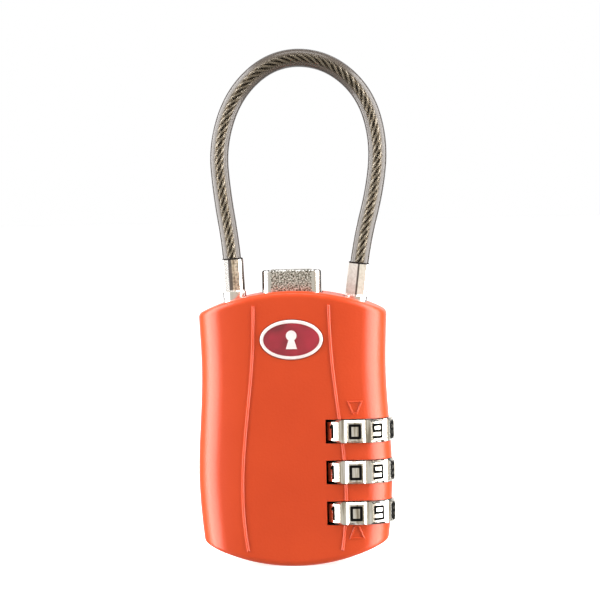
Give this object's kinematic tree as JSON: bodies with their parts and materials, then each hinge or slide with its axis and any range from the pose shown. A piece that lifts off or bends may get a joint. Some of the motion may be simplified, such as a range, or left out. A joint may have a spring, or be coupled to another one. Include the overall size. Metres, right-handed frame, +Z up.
{
  "type": "cable luggage lock",
  "caption": "Small luggage lock with a die-cast body, number dials on one side, a push button, a service key cylinder and a coated wire cable whose free end pulls out.",
  "frame": {"origin": "bottom centre of the lock without its cable: level with the lowest point of the curved bottom, midway across the body and dials, midway from the front of the dials to the back face", "axes": "+X to the side where the dials stand out, +Y to the back, +Z up along the body towards the cable"},
  "size_m": [0.0307, 0.012, 0.0804],
  "materials": {
    "body_paint": "satin powder coat on die-cast zinc",
    "bright_steel": "turned and peened",
    "bright_plate": "polished plate",
    "red_enamel": "glossy enamel",
    "ferrule_nickel": "nickel plate, crimped",
    "cable_jacket": "smoky clear jacket over steel rope",
    "button_zinc": "plated, textured middle",
    "spring_steel": "drawn wire and strip",
    "works_zinc": "die-cast zinc, bare",
    "plug_brass": "machined",
    "dial_chrome": "bright chrome plate",
    "numeral_ink": "black fill"
  },
  "bodies": {
    "housing": {"front_shell": "body_paint", "rear_shell": "body_paint", "shell_rivets": "bright_steel", "emblem_plate": "bright_plate", "emblem_enamel": "red_enamel", "emblem_sign": "bright_plate", "fixed_ferrule": "ferrule_nickel", "fixed_ferrule_pin": "bright_steel", "cable_fixed_half": "cable_jacket", "button_spring": "spring_steel", "spindle_spring": "spring_steel", "catch_spring": "spring_steel", "dial_detent_spring": "spring_steel", "cylinder_barrel": "works_zinc"},
    "button": {"push_button": "button_zinc"},
    "spindle": {"combination_spindle": "works_zinc"},
    "key_link": {"key_link_bar": "works_zinc"},
    "key_plug": {"cylinder_plug": "plug_brass", "cylinder_wafers": "plug_brass", "cylinder_cam": "works_zinc", "cam_clip": "spring_steel"},
    "reset": {"reset_cup": "works_zinc"},
    "free_end": {"free_ferrule": "ferrule_nickel", "cable_free_half": "cable_jacket"},
    "upper_dial": {"dial_upper": "dial_chrome", "numerals_upper": "numeral_ink"},
    "upper_sleeve": {"gate_sleeve_upper": "works_zinc"},
    "middle_dial": {"dial_middle": "dial_chrome", "numerals_middle": "numeral_ink"},
    "middle_sleeve": {"gate_sleeve_middle": "works_zinc"},
    "lower_dial": {"dial_lower": "dial_chrome", "numerals_lower": "numeral_ink"},
    "lower_sleeve": {"gate_sleeve_lower": "works_zinc"}
  },
  "joints": [
    {"name": "dial_upper_spin", "type": "hinge", "parent": "housing", "child": "upper_dial", "pos_m": [0.00935, -0.00005, 0.02095], "axis": [0, 0, 1], "continuous": true, "deforming": ["dial_detent_spring"]},
    {"name": "dial_middle_spin", "type": "hinge", "parent": "housing", "child": "middle_dial", "pos_m": [0.00935, -0.00005, 0.01459], "axis": [0, 0, 1], "continuous": true, "deforming": ["dial_detent_spring"]},
    {"name": "dial_lower_spin", "type": "hinge", "parent": "housing", "child": "lower_dial", "pos_m": [0.00935, -0.00005, 0.00823], "axis": [0, 0, 1], "continuous": true, "deforming": ["dial_detent_spring"]},
    {"name": "button_press", "type": "slide", "parent": "housing", "child": "button", "axis": [0, 0, 1], "range_m": [-0.0022, 0], "stiffness_N_per_m": 400, "springref_m": 0.0015, "deforming": ["button_spring", "spindle_spring", "catch_spring"]},
    {"name": "spindle_drop", "type": "slide", "parent": "housing", "child": "spindle", "axis": [0, 0, 1], "range_m": [-0.0022, 0]},
    {"name": "reset_push", "type": "slide", "parent": "housing", "child": "reset", "axis": [0, 0, -1], "range_m": [-0.0012, 0], "stiffness_N_per_m": 300, "springref_m": 0.001, "deforming": ["spindle_spring"]},
    {"name": "sleeve_upper_spin", "type": "hinge", "parent": "reset", "child": "upper_sleeve", "pos_m": [0.00935, -0.00005, 0.02095], "axis": [0, 0, 1], "continuous": true},
    {"name": "sleeve_middle_spin", "type": "hinge", "parent": "reset", "child": "middle_sleeve", "pos_m": [0.00935, -0.00005, 0.01459], "axis": [0, 0, 1], "continuous": true},
    {"name": "sleeve_lower_spin", "type": "hinge", "parent": "reset", "child": "lower_sleeve", "pos_m": [0.00935, -0.00005, 0.00823], "axis": [0, 0, 1], "continuous": true},
    {"name": "key_plug_turn", "type": "hinge", "parent": "housing", "child": "key_plug", "pos_m": [-0.00665, 0.00035, 0.008], "axis": [0, 0, -1], "range_deg": [0, 90]},
    {"name": "key_link_slide", "type": "slide", "parent": "spindle", "child": "key_link", "axis": [0, -1, 0], "range_m": [0, 0.00226]},
    {"name": "free_end_pull", "type": "slide", "parent": "housing", "child": "free_end", "axis": [0.1219, 0, 0.9925], "range_m": [0, 0.008], "deforming": ["catch_spring"]}
  ],
  "couplings": [
    {"joint": "spindle_drop", "follows": "button_press", "ratio": 1},
    {"joint": "sleeve_upper_spin", "follows": "dial_upper_spin", "ratio": 1},
    {"joint": "sleeve_middle_spin", "follows": "dial_middle_spin", "ratio": 1},
    {"joint": "sleeve_lower_spin", "follows": "dial_lower_spin", "ratio": 1},
    {"joint": "key_plug_turn", "follows": "key_link_slide", "rad_per_m": 694.2}
  ]
}
